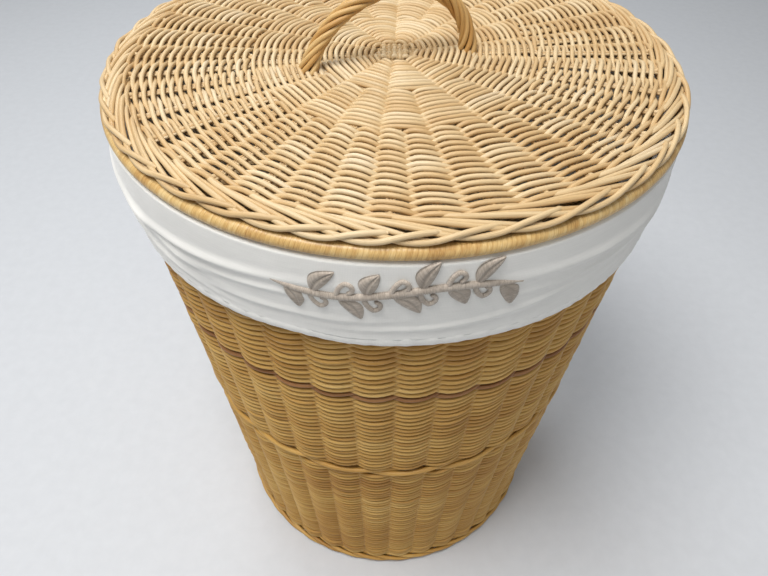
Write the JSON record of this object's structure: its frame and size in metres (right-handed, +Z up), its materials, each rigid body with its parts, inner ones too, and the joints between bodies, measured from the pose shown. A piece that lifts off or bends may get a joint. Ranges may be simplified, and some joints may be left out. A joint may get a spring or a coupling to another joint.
{
  "type": "laundry basket",
  "caption": "Round tapered laundry basket of twined cane with a turned-down cloth liner and a lift-off woven lid with a roped handle.",
  "frame": {"origin": "middle of the basket's foot, on the floor", "axes": "+Z up along the basket's axis, -Y towards the embroidered front, +X to the right of a person facing the front"},
  "size_m": [0.4529, 0.453, 0.6072],
  "materials": {
    "wall_cane": "semi-matt natural cane, aged tan",
    "stake_cane": "semi-matt natural cane",
    "dark_cane": "semi-matt darker cane",
    "lid_cane": "semi-matt pale straw cane",
    "hoop_peel": "satin wound peel",
    "handle_cane": "satin honey cane",
    "liner_cloth": "plain woven white cotton",
    "elastic": "woven elastic",
    "embroidery_thread": "satin-stitched taupe thread"
  },
  "bodies": {
    "basket": {"foot_border": "wall_cane", "base_split_sticks": "stake_cane", "base_threaded_sticks": "stake_cane", "base_weave": "wall_cane", "side_stakes": "stake_cane", "upset_wale": "wall_cane", "lower_weave": "wall_cane", "fitch_band": "wall_cane", "middle_weave": "wall_cane", "accent_round": "dark_cane", "upper_weave": "wall_cane", "rim_border": "wall_cane", "liner_bag": "liner_cloth", "liner_base": "liner_cloth", "liner_cuff": "liner_cloth", "cuff_hem": "liner_cloth", "hem_elastic": "elastic", "embroidered_sprig": "embroidery_thread"},
    "lid": {"lid_slath_under": "lid_cane", "lid_slath_over": "lid_cane", "lid_spokes_inner": "lid_cane", "lid_spokes_middle": "lid_cane", "lid_spokes_outer": "lid_cane", "lid_weave_inner": "lid_cane", "lid_weave_middle": "lid_cane", "lid_weave_outer": "lid_cane", "lid_border": "lid_cane", "lid_hoop_core": "hoop_peel", "lid_hoop_wrap": "hoop_peel", "lid_locating_ring": "lid_cane", "handle_core": "handle_cane", "handle_roping": "handle_cane"}
  },
  "joints": [
    {"name": "lid_lift", "type": "slide", "parent": "basket", "child": "lid", "axis": [0, 0, 1], "range_m": [0, 0.25]}
  ]
}
